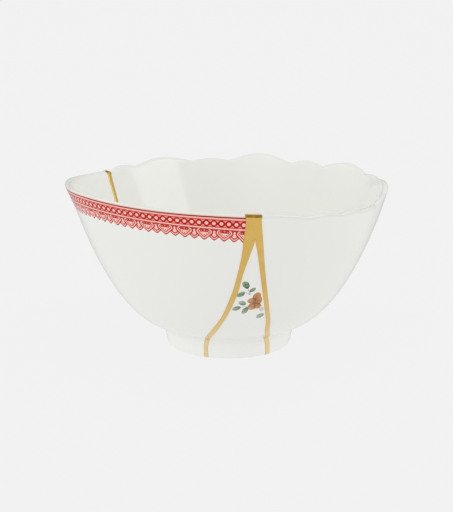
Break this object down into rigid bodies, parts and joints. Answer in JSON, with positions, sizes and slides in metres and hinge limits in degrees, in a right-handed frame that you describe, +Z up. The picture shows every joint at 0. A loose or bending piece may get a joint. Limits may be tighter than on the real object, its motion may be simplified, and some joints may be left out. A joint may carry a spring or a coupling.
{
  "type": "kintsugi bowl",
  "caption": "Small footed porcelain bowl pieced together from mismatched sherds, joined and repaired with raised gold seams; stands on its foot ring.",
  "frame": {"origin": "centre of the foot ring, on the plane that the bowl stands on", "axes": "+Z up along the bowl's axis; -Y towards the forked gold seam at the front; +X to the right seen from the front"},
  "size_m": [0.138, 0.1372, 0.0737],
  "materials": {
    "lace_glaze": "gloss white glaze, with a rust-red lace border painted below the rim outside",
    "scalloped_glaze": "gloss white glaze, plain",
    "flower_glaze": "gloss white glaze, with a small painted flower spray outside",
    "seam_gold": "satin gold, brushed on over the joints"
  },
  "bodies": {
    "root": {"lace_rim_sherd": "lace_glaze", "scalloped_rim_sherd": "scalloped_glaze", "flower_sherd": "flower_glaze", "gold_seams": "seam_gold"}
  },
  "joints": []
}
